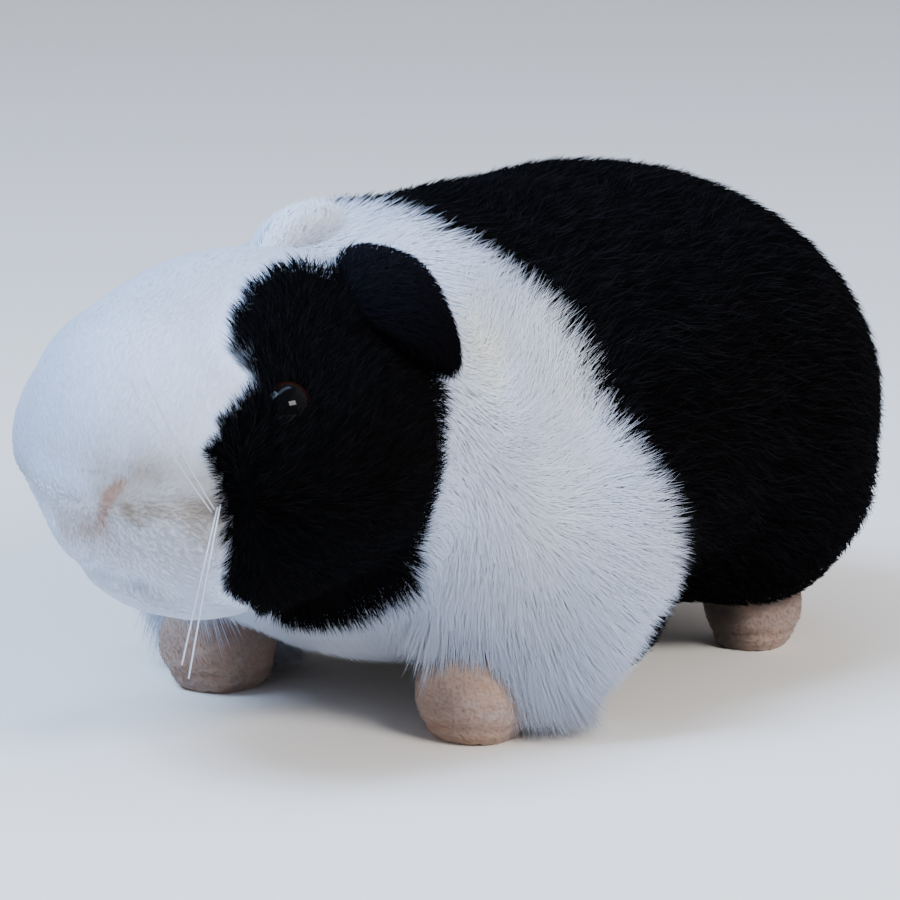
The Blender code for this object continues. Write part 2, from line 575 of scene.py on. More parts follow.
@dataclass(frozen=True)
class EyeFinish:
    """A clear dome over a brown iris and a black pupil."""

    name: str = "eye_plastic"
    pupil: Colour = (0.0010, 0.0010, 0.0014)
    iris: Colour = (0.013, 0.0036, 0.0020)
    pupil_edge: float = 0.69
    iris_edge: float = 0.80
    rim_edge: float = 0.90     # past here the dome darkens again

    def make(self) -> bpy.types.Material:
        """Builds the material.

        Returns:
            The finished material.
        """
        recipe = Recipe(self.name)
        reach = recipe.attribute("reach")
        colour = recipe.blend(reach.ramp(self.pupil_edge, self.iris_edge), self.pupil, self.iris)
        colour = recipe.blend(reach.ramp(self.rim_edge, 1.0), colour, self.pupil)
        recipe.set(
            Base_Color=colour,
            Roughness=0.4,
            Specular_IOR_Level=0.0,
            Coat_Weight=1.0,
            Coat_Roughness=0.03,
            Coat_IOR=1.20,
        )
        return recipe.material


@dataclass(frozen=True)
class BristleFinish:
    """Clear nylon thread for the whiskers."""

    name: str = "clear_nylon"
    tint: Colour = (0.56, 0.59, 0.72)
    noise_scale: float = 60.0
    unevenness: float = 0.3

    def make(self) -> bpy.types.Material:
        """Builds the material.

        Returns:
            The finished material.
        """
        recipe = Recipe(self.name)
        shade = recipe.noise(self.noise_scale) * self.unevenness + (1.0 - self.unevenness)
        recipe.set(Base_Color=recipe.shaded(self.tint, shade), Roughness=0.2, Coat_Weight=0.5)
        return recipe.material


@dataclass(frozen=True)
class FloorFinish:
    """A plain pale studio floor."""

    name: str = "studio_floor"
    pale: Colour = (0.92, 0.88, 0.83)

    def make(self) -> bpy.types.Material:
        """Builds the material.

        Returns:
            The finished material.
        """
        recipe = Recipe(self.name)
        recipe.set(Base_Color=self.pale, Roughness=0.9, Specular_IOR_Level=0.1)
        return recipe.material


# ------------------------------------------------------------------- markings


@dataclass(frozen=True)
class Stain:
    """A soft stroke of colour on the pile, from one end to the other, in millimetres."""

    mark: Mark
    start: tuple[float, float, float]
    end: tuple[float, float, float]
    width: float
    strength: float
    slack: float = 1.0      # the cloth lies this far under the stroke

    def amount(self, points: Array) -> Array:
        """How strongly each point is stained.

        Args:
            points: places in metres.

        Returns:
            A share from 0 to 1 for each point.
        """
        gap = np.maximum(gap_to(points, self.start, self.end) - self.slack * MM, 0.0)
        return self.strength * swell(gap, self.width * MM)


@dataclass(frozen=True)
class Markings:
    """Where the toy is black, cream and stained, and where shade is painted on its face. All sizes are in
    millimetres.
    """

    # The face patch's edge towards the nose: (height, distance from the middle).
    patch_front: tuple = (
        (41, 24), (48, 27), (58, 32.5), (70, 34.3), (82, 32), (89, 34.2),
        (95, 36.8), (98, 35), (103, 30.3), (109, 24.7), (112, 21.5), (118, 17),
    )
    # Over the brow it also keeps this far from the middle: (distance along the body, distance).
    patch_brow: tuple = (
        (-108, 15), (-102, 22.5), (-98, 20.8), (-91, 18.4), (-84, 17), (-75, 16.5),
        (-72, 19), (-69.5, 24), (-50, 26),
    )
    brow_fade: tuple = (98, 104)           # the heights over which that rule comes in
    # Under the cheek the same edge runs slantwise: (distance along the body, distance from the middle).
    patch_under: tuple = ((-106, 28), (-98, 24.5), (-90, 21), (-57, -3))
    under_fade: tuple = (40, 46)           # the heights over which the nose edge takes over from it
    # The patch's bottom edge at the throat: (distance from the middle, height).
    patch_floor: tuple = ((-6, 28), (5, 27), (21, 33), (30, 38.5), (39, 43.5), (50, 48))
    # And under the chin: (distance along the body, height).
    patch_chin: tuple = ((-110, 48), (-104, 43.5), (-98, 39.5), (-90, 36), (-80, 31), (-57, 20))
    # Its edge towards the shoulder: (height, distance along the body).
    patch_rear: tuple = (
        (26, -47), (36, -48), (42, -54), (49, -57), (60, -62), (78, -61), (90, -56), (112, -50),
    )
    # The saddle's edge: (height, distance along the body).
    saddle_edge: tuple = ((0, -4), (40, -7), (70, -15), (98, -15), (112, -25), (120, -31), (130, -34))
    edge_noise: float = 0.45               # how far the edges wander
    edge_wave: float = 3.0                 # over this length
    edge_blur: float = 0.3                 # and how soft they are
    stains: tuple = (
        Stain(Mark.RUST, (14.5, -130, 74.0), (10.5, -130.3, 70.0), 0.8, 1.0),
        Stain(Mark.RUST, (10.5, -130.3, 70.0), (8.0, -129.6, 64.3), 0.8, 0.85),
        Stain(Mark.RUST, (7.5, -129.6, 62.5), (3, -129.2, 61.0), 2.2, 0.60),
        # The grey strokes are partly airbrushed stain and partly painted shade: on the cheek beside the
        # black patch, low on the snout, in the groove under the nose and along the lip fold.
        Stain(Mark.HAZE, (9, -130, 67), (-4, -128.7, 63), 6.5, 0.75),
        Stain(Mark.HAZE, (12, -130, 71), (32, -121, 70), 7.5, 0.92),
        Stain(Mark.HAZE, (21, -127, 77), (33, -119, 75), 5.0, 0.85),
        Stain(Mark.HAZE, (25, -125, 73), (33, -118.5, 62), 7.0, 0.85),
        Stain(Mark.HAZE, (12, -130, 60), (32, -119, 58), 10.0, 0.50),
        Stain(Mark.HAZE, (4, -129, 60), (-0.5, -123, 51.5), 1.8, 0.40),
        Stain(Mark.HAZE, (8, -121, 48), (14, -117, 45.6), 3.0, 0.35),
        Stain(Mark.SOOT, (15.4, -129.1, 68.0), (18, -128, 65.4), 0.9, 0.65),
        Stain(Mark.SOOT, (19.4, -127.9, 68.6), (24, -125.7, 68.0), 1.0, 0.50),
        Stain(Mark.SOOT, (27, -124.0, 67.6), (29, -122.2, 68.2), 1.0, 0.40),
        Stain(Mark.SOOT, (17.5, -129.6, 76.8), (22.5, -127.5, 75.4), 1.4, 0.40),
        Stain(Mark.SOOT, (29, -122.2, 74.5), (32, -120.8, 74.0), 1.4, 0.30),
        Stain(Mark.SOOT, (29, -122.2, 68.6), (33, -119.5, 69), 2.2, 0.55),
        Stain(Mark.SOOT, (31.8, -120.6, 70.6), (34, -118.5, 66), 1.3, 0.95),
        Stain(Mark.CREAM, (39, -37, 98), (42, -36, 88), 6.0, 0.90),
        Stain(Mark.CREAM, (49, -21, 94), (55, -22, 82), 9.0, 0.70),
        Stain(Mark.CREAM, (56, -30, 60), (58, -38, 45), 9.0, 0.25),
    )

    def patch(self, points: Array) -> Array:
        """How far each point lies inside the face patch.

        Args:
            points: places in metres.

        Returns:
            Distances from its edge in millimetres, below 0 outside.
        """
        x, y, z = (points / MM).T
        under, front = self.bend(self.patch_under, y), self.bend(self.patch_front, z)
        front = mix(under, front, smooth(*self.under_fade, z))
        front = np.maximum(front, self.bend(self.patch_brow, y) * smooth(*self.brow_fade, z))
        floor = np.maximum(self.bend(self.patch_floor, x), self.bend(self.patch_chin, y))
        return np.minimum.reduce([x - front, self.bend(self.patch_rear, z) - y, z - floor])

    def saddle(self, points: Array) -> Array:
        """How far each point lies behind the saddle's edge, in millimetres."""
        return points[:, 1] / MM - self.bend(self.saddle_edge, points[:, 2] / MM)

    @staticmethod
    def bend(edge: tuple, station: Array) -> Array:
        """Reads an edge's broken line at each station."""
        return np.interp(station, *zip(*edge))

    def black(self, points: Array) -> Array:
        """1 where the plush is black, 0 where it is white.

        Args:
            points: places in metres.

        Returns:
            A share for each point, almost everywhere 0 or 1.
        """
        rough = waves(points, self.edge_wave * MM, EDGE_SEED) * self.edge_noise
        inside = np.maximum(self.patch(points), self.saddle(points)) + rough
        return smooth(-self.edge_blur, self.edge_blur, inside)

    def amounts(self, points: Array) -> dict[Mark, Array]:
        """Every marking's share at each point.

        Args:
            points: places in metres.

        Returns:
            The shares, by marking.
        """
        found = {mark: np.zeros(len(points)) for mark in Mark}
        found[Mark.BLACK] = self.black(points)
        for stain in self.stains:
            found[stain.mark] = np.maximum(found[stain.mark], stain.amount(points))
        return found


# ----------------------------------------------------------------------- skin


@dataclass(frozen=True)
class Crease:
    """A soft groove pressed into the cloth along a path, in millimetres."""

    path: tuple
    width: float
    depth: float

    def press(self, points: Array) -> Array:
        """How deep the groove is at each point.

        Args:
            points: places in metres.

        Returns:
            Depths in metres.
        """
        gap = np.min([gap_to(points, *ends) for ends in zip(self.path[:-1], self.path[1:])], axis=0)
        return self.depth * MM * swell(gap, self.width * MM)


@dataclass
class Skin:
    """The plush cloth under the pile: head, shoulders and rump in one sheet."""

    markings: Markings
    mate: float = 0.7 * MM       # faces this close to a neighbour lie inside a seam
    overlap: float = 0.8 * MM    # how far each panel is pushed over its seam
    least_faces: int = 4         # fewer faces than this against a neighbour are no socket
    voxel: float = 1.7 * MM
    smoothing: int = 9
    last_smoothing: int = 2
    face_depth: float = 1.1 * MM
    nose_depth: float = 0.7 * MM
    body_depth: float = 4.0 * MM
    nose_reach: tuple = (-105, -126)    # along, in millimetres: where the face's depth turns into the nose's
    neck_reach: tuple = (-62, -34)      # and where it turns into the body's
    cloth_rise: float = 0.2             # the cloth's own place between root and tip, for its colour and its painted root shade
    creases: tuple = (
        # the lips, the groove under the nose, the dip beside it and the seam across the snout
        Crease(
            ((-24, -111, 46), (-13, -117.5, 46.5), (-2, -122, 50), (5, -122, 49), (10, -120.3, 47.8)),
            2.4,
            3.2,
        ),
        Crease(((10, -120.3, 47.8), (15, -117, 45.6)), 2.4, 2.0),
        Crease(((5.1, -129, 60.9), (2.5, -127, 56), (-0.5, -123.3, 51.5)), 1.9, 1.6),
        Crease(((-34, -113, 62), (-24, -119, 63), (-15, -125, 62)), 4.0, 3.2),
        Crease(((-14, -128, 76.5), (0, -132, 76), (14, -130.5, 75.5)), 1.8, 0.8),
        # the cloth falls in behind each elbow
        Crease(((79, 2, 26), (76, -8, 21), (69, -9, 12)), 12.0, 4.5),
        Crease(((-79, 2, 26), (-76, -8, 21), (-69, -9, 12)), 12.0, 4.5),
    )

    def trees(self, nodes: Iterable[str]) -> list[BVHTree]:
        """Makes search trees over some solids.

        Args:
            nodes: the solids.

        Returns:
            A tree for each.
        """
        found = []
        for node in nodes:
            form = merged_copy(node)
            found.append(BVHTree.FromBMesh(form))
            form.free()
        return found

    def touching(self, form: bmesh.types.BMesh, tree: BVHTree) -> list[bmesh.types.BMFace]:
        """The faces of a form that lie against a searched solid."""
        near = (tree.find_nearest(face.calc_center_median(), self.mate)[0] for face in form.faces)
        return [face for face, spot in zip(form.faces, near) if spot is not None]

    def plug(self, faces: Sequence[bmesh.types.BMFace]) -> bmesh.types.BMesh:
        """A closed convex plug that fills a socket.

        Args:
            faces: the socket's own walls.

        Returns:
            The plug.
        """
        form = bmesh.new()
        for corner in {vert for face in faces for vert in face.verts}:
            form.verts.new(corner.co)
        hull = bmesh.ops.convex_hull(form, input=form.verts)
        spare = {*hull["geom_interior"], *hull["geom_unused"]}
        spare = [vert for vert in spare if isinstance(vert, bmesh.types.BMVert)]
        bmesh.ops.delete(form, geom=spare, context="VERTS")
        return form

    def closed_panel(
        self, node: str, trims: Sequence[BVHTree], panels: Sequence[BVHTree]
    ) -> list[bmesh.types.BMesh]:
        """One flesh solid with its seams pushed shut, and plugs for its sockets.

        Args:
            node: the solid.
            trims: the ears, eyes and legs.
            panels: the other flesh solids.

        Returns:
            Closed forms that overlap each other a little.
        """
        form = merged_copy(node)
        walls = [self.touching(form, tree) for tree in trims]
        plugs = [self.plug(faces) for faces in walls if len(faces) >= self.least_faces]
        moves = {}
        for tree in panels:
            for face in self.touching(form, tree):
                for vert in face.verts:
                    moves[vert] = moves.get(vert, Vector()) + face.normal
        for vert, way in moves.items():
            vert.co += way.normalized() * self.overlap
        return [form, *plugs]

    def outline(self) -> bpy.types.Object:
        """Joins the flesh solids into one shell on their own outer surface.

        Returns:
            A smooth closed shell.
        """
        trims = self.trees(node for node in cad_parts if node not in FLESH)
        shell = bmesh.new()
        for flesh in FLESH:
            panels = self.trees(node for node in FLESH if node != flesh)
            for form in self.closed_panel(flesh, trims, panels):
                mesh = bpy.data.meshes.new("panel")
                form.to_mesh(mesh)
                form.free()
                shell.from_mesh(mesh)
                bpy.data.meshes.remove(mesh)
        mesh = bpy.data.meshes.new("skin")
        shell.to_mesh(mesh)
        shell.free()
        piece = bpy.data.objects.new("skin", mesh)
        bpy.context.scene.collection.objects.link(piece)
        blend = piece.modifiers.new("blend", "REMESH")
        blend.mode = "VOXEL"
        blend.voxel_size = self.voxel
        soften = piece.modifiers.new("soften", "SMOOTH")
        soften.iterations = self.smoothing
        bake_modifiers(piece)
        return piece

    def depth(self, points: Array) -> Array:
        """How far the cloth lies inside the tips of the pile.

        Args:
            points: places in metres.

        Returns:
            A depth in metres for each point.
        """
        y = points[:, 1] / MM
        face = mix(self.face_depth, self.nose_depth, smooth(*self.nose_reach, y))
        return mix(face, self.body_depth, smooth(*self.neck_reach, y))

    def make(self, finish: bpy.types.Material) -> bpy.types.Object:
        """Builds the skin.

        Args:
            finish: the plush cloth.

        Returns:
            The finished piece.
        """
        piece = self.outline()
        places = points_of(piece.data)
        sunk = self.depth(places) + sum(crease.press(places) for crease in self.creases)
        move_points(piece.data, places - normals_of(piece.data) * sunk[:, None])
        soften = piece.modifiers.new("soften", "SMOOTH")
        soften.iterations = self.last_smoothing
        bake_modifiers(piece)
        mesh = piece.data
        mesh.name = "skin"
        mesh.shade_smooth()
        write_pile(mesh, self.markings.amounts(points_of(mesh)), self.cloth_rise)
        mesh.materials.clear()
        mesh.materials.append(finish)
        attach(piece, BODY)
        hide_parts(*FLESH)
        return piece


# ----------------------------------------------------------------------- coat


@dataclass(frozen=True)
class Fur:
    """How one kind of pile grows; each field is one number, or one for every root."""

    crowd: Amount     # roots to a square metre, against the other kinds
    length: Amount    # millimetres
    width: Amount     # millimetres
    lift: Amount      # degrees off the cloth at the root
    stray: Amount     # how far single tufts leave the common lie
    lock: Amount      # how far neighbouring tips are drawn together

    def mixed(self, other: "Fur", share: Array) -> "Fur":
        """This pile turned into another by a share from 0 to 1."""
        names = self.__dataclass_fields__
        return Fur(*(mix(getattr(self, name), getattr(other, name), share) for name in names))


@dataclass
class Tufts:
    """A set of pile tufts, one row each."""

    roots: Array
    normals: Array
    lies: Array
    lengths: Array
    widths: Array
    lifts: Array
    pulls: Array      # where each tip is drawn to, from its own place

    def chosen(self, rows: Array) -> "Tufts":
        """The tufts of the given rows."""
        return Tufts(*(getattr(self, name)[rows] for name in self.__dataclass_fields__))


@dataclass(frozen=True)
class TuftMaker:
    """Grows closed spindle tufts as one joined mesh."""

    belly: float = 0.36                   # where a tuft is widest, from root to tip
    corners: int = 3
    droop: float = 1.15                   # share of the lift lost by the tip
    patch: float = 0.003                  # a tuft's width on the bake map
    roundness: float = 0.045              # how much a tuft shades as a thread, not as the coat
    comb: float = 0.30                    # how far the coat's shading leans along the lie
    floor: float = 0.4 * MM               # no pile goes below this height
    bends: int = 12                       # steps used to sum up a tuft's curve
    sweep: float = 1.6                    # how late along a tuft it is drawn to its lock, as a power

    def spine(self, tufts: Tufts) -> Array:
        """The middle line of each tuft: its root, belly and tip.

        Args:
            tufts: the tufts.

        Returns:
            Places, as (tuft, station, xyz).
        """
        fine = np.linspace(0.0, 1.0, self.bends + 1)
        lift = tufts.lifts[:, None] * (1.0 - self.droop * fine)
        halves = (lift[:, 1:] + lift[:, :-1]) / 2
        start = np.zeros((len(lift), 1))
        rise = np.concatenate([start, np.cumsum(np.sin(halves), axis=1) / self.bends], axis=1)
        run = np.concatenate([start, np.cumsum(np.cos(halves), axis=1) / self.bends], axis=1)
        picks = [0, round(self.belly * self.bends), self.bends]
        up = tufts.normals[:, None] * (rise[:, picks] * tufts.lengths[:, None])[..., None]
        along = tufts.lies[:, None] * (run[:, picks] * tufts.lengths[:, None])[..., None]
        drawn = tufts.pulls[:, None] * np.array([0.0, self.belly ** self.sweep, 1.0])[None, :, None]
        line = tufts.roots[:, None] + up + along + drawn
        line[..., 2] = np.maximum(line[..., 2], self.floor)
        return line

    def shape(self, tufts: Tufts) -> tuple[Array, Array]:
        """Works out every tuft's corners: its root, a ring round its belly and its tip.

        Args:
            tufts: the tufts.

        Returns:
            The corners' places and the normals they are shaded by, as (tuft, corner, xyz).
        """
        line = self.spine(tufts)
        tangent = unit(line[:, 2] - line[:, 0])
        side = unit(np.cross(tufts.normals, tangent))
        over = np.cross(tangent, side)
        angles = math.pi / 2 + np.arange(self.corners) * math.tau / self.corners
        spin = np.cos(angles)[None, :, None] * side[:, None] + np.sin(angles)[None, :, None] * over[:, None]
        ring = line[:, 1:2] + spin * (tufts.widths / 2)[:, None, None]
        places = np.concatenate([line[:, :1], ring, line[:, 2:]], axis=1)
        fleece = unit(tufts.normals + self.comb * tangent)[:, None]
        thread = np.concatenate([over[:, None], spin, over[:, None]], axis=1)
        return places, unit(fleece * (1 - self.roundness) + thread * self.roundness)

    def grow(
        self, name: str, tufts: Tufts, spots: Array, carried: dict[str, Array], finish: bpy.types.Material
    ) -> bpy.types.Object:
        """Builds the joined mesh.

        Args:
            name: the piece's name.
            tufts: the tufts.
            spots: each root's place on the bake map, from 0 to 1.
            carried: numbers that each tuft carries, by attribute name.
            finish: the pile's material.

        Returns:
            The coat piece.
        """
        places, shading = self.shape(tufts)
        count, per = places.shape[:2]
        faces = self.faces()
        corners_of = (faces.ravel()[None] + (np.arange(count) * per)[:, None]).ravel()
        mesh = bpy.data.meshes.new(name)
        mesh.vertices.add(count * per)
        mesh.vertices.foreach_set("co", places.ravel().astype(np.float32))
        mesh.loops.add(len(corners_of))
        mesh.loops.foreach_set("vertex_index", corners_of.astype(np.int32))
        mesh.polygons.add(count * len(faces))
        mesh.polygons.foreach_set("loop_start", np.arange(0, len(corners_of), 3, dtype=np.int32))
        mesh.update(calc_edges=True)
        heights = np.array([0.0, *[self.belly] * self.corners, 1.0])
        around = np.array([0.5, *(np.arange(self.corners) / self.corners), 0.5])
        local = np.stack([around, heights], axis=1) - 0.5
        flat = (spots[:, None] + local[None] * self.patch).reshape(-1, 2)
        layer = mesh.uv_layers.new(name=BAKE_MAP)
        layer.data.foreach_set("uv", flat[corners_of].ravel().astype(np.float32))
        # Each corner's height in its tuft, which the finish turns into painted shade towards the root.
        write_values(mesh, "rise", np.tile(heights, count))
        for key, values in carried.items():
            write_values(mesh, key, np.repeat(values, per))
        piece = place_mesh(name, mesh, finish)
        mesh.normals_split_custom_set_from_vertices(shading.reshape(-1, 3))
        return piece

    def faces(self) -> Array:
        """One tuft's triangles.

        Returns:
            A fan from its root and a fan to its tip.
        """
        first = np.arange(self.corners) + 1
        after = np.roll(first, -1)
        root, tip = np.zeros_like(first), np.full_like(first, self.corners + 1)
        return np.concatenate([np.stack([root, after, first], 1), np.stack([first, after, tip], 1)])

    @property
    def triangles(self) -> int:
        """Triangles in one tuft."""
        return 2 * self.corners


@dataclass
class Coat:
    """Pile over one piece of cloth; each kind below says what grows where."""

    cloth: bpy.types.Object
    name: str
    count: int                             # tufts
    seed: int
    tufts_per_lock: int = 14
    piece_limit: int = 190_000             # triangles
    length_range: tuple = (0.72, 1.12)     # how much single tufts differ from their pile
    width_range: tuple = (0.75, 1.25)
    lock_range: tuple = (0.4, 1.2)
    lift_spread: float = 0.16
    lift_limits: tuple = (4, 85)           # degrees
    map_margin: float = 0.01               # what stays free round each piece's map

    def fur(self, points: Array) -> Fur:
        """The pile at each point."""
        raise NotImplementedError

    def flow(self, roots: Array, normals: Array) -> Array:
        """The way the pile lies at each root, as unit vectors in the cloth's plane."""
        raise NotImplementedError

    def marks(self, roots: Array) -> dict[Mark, Array]:
        """Every marking's share at each root."""
        raise NotImplementedError

    def bare(self, roots: Array) -> Array:
        """True where no pile grows."""
        return np.zeros(len(roots), dtype=bool)

    def slot(self, marks: dict[Mark, Array]) -> str:
        """The name of a material slot for a piece with these markings; no piece is put in it."""
        return "black_plush" if marks[Mark.BLACK].mean() > 0.5 else "white_plush"

    def shades(self, roots: Array) -> Array:
        """How light each tuft is, from 0 to 1."""
        return np.random.default_rng(self.seed + 3).uniform(0, 1, len(roots))

    def others(self, roots: Array) -> dict[str, Array]:
        """What else each tuft carries, by attribute name."""
        return {"shade": self.shades(roots)}

    def scatter(self) -> tuple[Array, Array]:
        """Drops roots over the cloth.

        Returns:
            The roots and the cloth's normals there.
        """
        mesh = self.cloth.data
        mesh.calc_loop_triangles()
        corners = np.empty(len(mesh.loop_triangles) * 3, dtype=np.int32)
        mesh.loop_triangles.foreach_get("vertices", corners)
        corners = corners.reshape(-1, 3)
        places, normals = points_of(mesh), normals_of(mesh)
        first, second, third = (places[corners[:, index]] for index in range(3))
        areas = np.linalg.norm(np.cross(second - first, third - first), axis=1) / 2
        weights = areas * self.fur((first + second + third) / 3).crowd
        dice = np.random.default_rng(self.seed)
        stations = (np.arange(self.count) + dice.uniform(0, 1, self.count)) / self.count
        chosen = np.searchsorted(np.cumsum(weights) / weights.sum(), stations)
        chosen = np.minimum(chosen, len(corners) - 1)
        a, b = dice.uniform(0, 1, (2, self.count))
        flip = a + b > 1
        a, b = np.where(flip, 1 - a, a), np.where(flip, 1 - b, b)
        shares = np.stack([1 - a - b, a, b], axis=1)
        spread = corners[chosen]
        roots = (places[spread] * shares[..., None]).sum(axis=1)
        normals = unit((normals[spread] * shares[..., None]).sum(axis=1))
        keep = ~self.bare(roots)
        return roots[keep], normals[keep]

    def locks(self, roots: Array, share: Array) -> Array:
        """Draws neighbouring tips together.

        Args:
            roots: the tufts' roots.
            share: how far each tip goes towards its lock's middle.

        Returns:
            Where each tip is drawn to, from its own place.
        """
        dice = np.random.default_rng(self.seed + 2)
        heads = dice.choice(len(roots), max(1, len(roots) // self.tufts_per_lock), replace=False)
        tree = KDTree(len(heads))
        for order, place in enumerate(roots[heads]):
            tree.insert(place, order)
        tree.balance()
        nearest = np.array([tree.find(root)[1] for root in roots])
        share = share * dice.uniform(*self.lock_range, len(roots))
        return (roots[heads[nearest]] - roots) * share[:, None]

    def plan(self) -> Tufts:
        """Sizes every tuft.

        Returns:
            All tufts of the coat.
        """
        roots, normals = self.scatter()
        dice = np.random.default_rng(self.seed + 1)
        fur = self.fur(roots)
        size = len(roots)
        lengths = fur.length * MM * dice.uniform(*self.length_range, size)
        widths = fur.width * MM * dice.uniform(*self.width_range, size)
        lifts = fur.lift * (1 + dice.normal(0, self.lift_spread, size))
        lifts = np.radians(np.clip(lifts, *self.lift_limits))
        lies = self.flow(roots, normals)
        stray = unit(np.cross(normals, lies)) * (dice.normal(0, 1, size) * fur.stray)[:, None]
        return Tufts(roots, normals, unit(lies + stray), lengths, widths, lifts, self.locks(roots, fur.lock))

    def unwrap(self, roots: Array) -> Array:
        """Each root's place on a map wound round the cloth's long axis.

        Args:
            roots: places in metres.

        Returns:
            Map places, not yet scaled to a piece.
        """
        places = points_of(self.cloth.data)
        low, high = places.min(axis=0), places.max(axis=0)
        middle, half = (low + high) / 2, (high - low) / 2
        turn = np.arctan2(roots[:, 0] - middle[0], roots[:, 2] - middle[2])
        along = np.arccos(np.clip((roots[:, 1] - middle[1]) / half[1], -1, 1))
        return np.stack([turn, along], axis=1)

    def make(self, finish: bpy.types.Material) -> list[bpy.types.Object]:
        """Builds the coat in pieces, each small enough to keep whole.

        Args:
            finish: the pile's material.

        Returns:
            The coat pieces.
        """
        tufts = self.plan()
        spots = self.unwrap(tufts.roots)
        marks = self.marks(tufts.roots)
        maker = TuftMaker()
        order = np.argsort(-tufts.roots[:, 1])
        parts = math.ceil(len(order) * maker.triangles / self.piece_limit)
        others = self.others(tufts.roots)
        pieces = []
        for index, rows in enumerate(np.array_split(order, parts)):
            near = spots[rows]
            low, high = near.min(axis=0), near.max(axis=0)
            near = self.map_margin + (1 - 2 * self.map_margin) * (near - low) / (high - low)
            carried = {mark.value: share[rows] for mark, share in marks.items()}
            carried |= {name: values[rows] for name, values in others.items()}
            piece = maker.grow(f"{self.name}_{index + 1}", tufts.chosen(rows), near, carried, finish)
            self.slot({mark: share[rows] for mark, share in marks.items()})
            pieces.append(piece)
        return pieces


class Zone(Enum):
    """The parts of the body's pile that have a cut of their own."""

    MUZZLE = "nose and lips"
    COLLAR = "white pile of the face, along the black patch"
    THROAT = "black pile low on the body"
    CORNER = "the black patch's low front corner"
    RIM = "the black cheek's lower edge, where its pile hangs free"
    TUCK = "black pile round the left ear"
    TUFT = "white pile round the right ear"
    APRON = "just above the front legs"
    CHEST = "under the breast and between the front legs"
    HEM = "white pile along the flank's lower edge"
    BORDER = "both sides of the saddle's edge"
    FRINGE = "the white side of that edge"
    BRINK = "its black side"


@dataclass(frozen=True)
class Cut:
    """How a zone changes the pile where its share is 1; each number but one is against the pile's own."""

    length: float = 0.0
    lift: float = 0.0
    raised: float = 0.0    # degrees on top of the lift
    width: float = 0.0
    lock: float = 0.0


CUTS: dict[Zone, Cut] = {
    Zone.MUZZLE: Cut(length=-0.55),
    Zone.COLLAR: Cut(length=-0.65),
    Zone.THROAT: Cut(length=-0.55),
    Zone.CORNER: Cut(length=-0.55),
    Zone.RIM: Cut(length=0.45),
    Zone.TUCK: Cut(length=0.6, raised=12),
    Zone.TUFT: Cut(length=1.2, raised=30),
    Zone.APRON: Cut(raised=12),
    Zone.CHEST: Cut(length=-0.42),
    Zone.HEM: Cut(length=-0.60, lift=-0.30),
    Zone.BORDER: Cut(width=-0.40, lock=-0.60),
    Zone.FRINGE: Cut(length=0.05, lift=0.50),
    Zone.BRINK: Cut(lift=-0.25),
}


